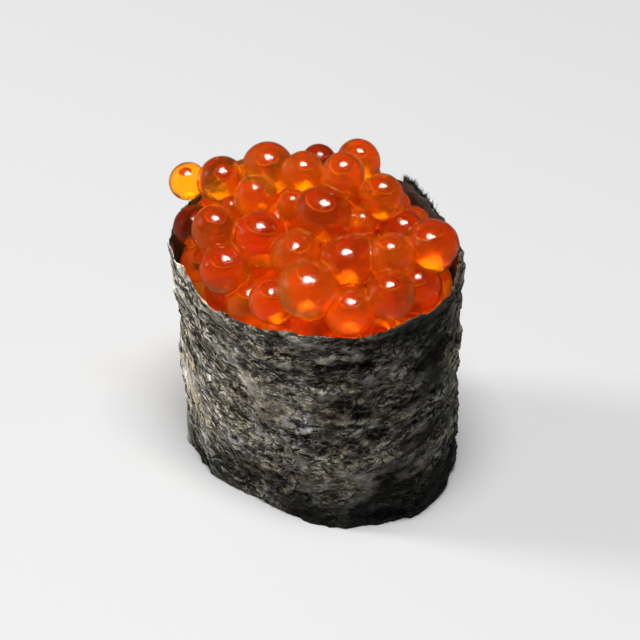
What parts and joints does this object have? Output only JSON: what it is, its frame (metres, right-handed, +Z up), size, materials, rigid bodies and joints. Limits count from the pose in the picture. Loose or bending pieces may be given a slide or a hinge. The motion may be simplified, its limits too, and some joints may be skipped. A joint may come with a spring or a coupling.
{
  "type": "gunkan sushi",
  "caption": "Gunkan sushi: an oval block of rice in a tall strip of nori, its cup heaped with salmon roe.",
  "frame": {"origin": "middle of the rice's flat underside, on the surface the sushi stands on", "axes": "+Z up; X along the oval's long axis, with the stray egg on the rim at -X; Y across the oval, with the strip's free end at +Y"},
  "size_m": [0.0448, 0.0322, 0.0496],
  "materials": {
    "nori": "satin, wrinkled",
    "rice": "moist, pearly",
    "roe": "wet, glassy, translucent"
  },
  "bodies": {
    "root": {"nori_band": "nori", "rice_bed": "rice", "roe_heap": "roe"}
  },
  "joints": []
}
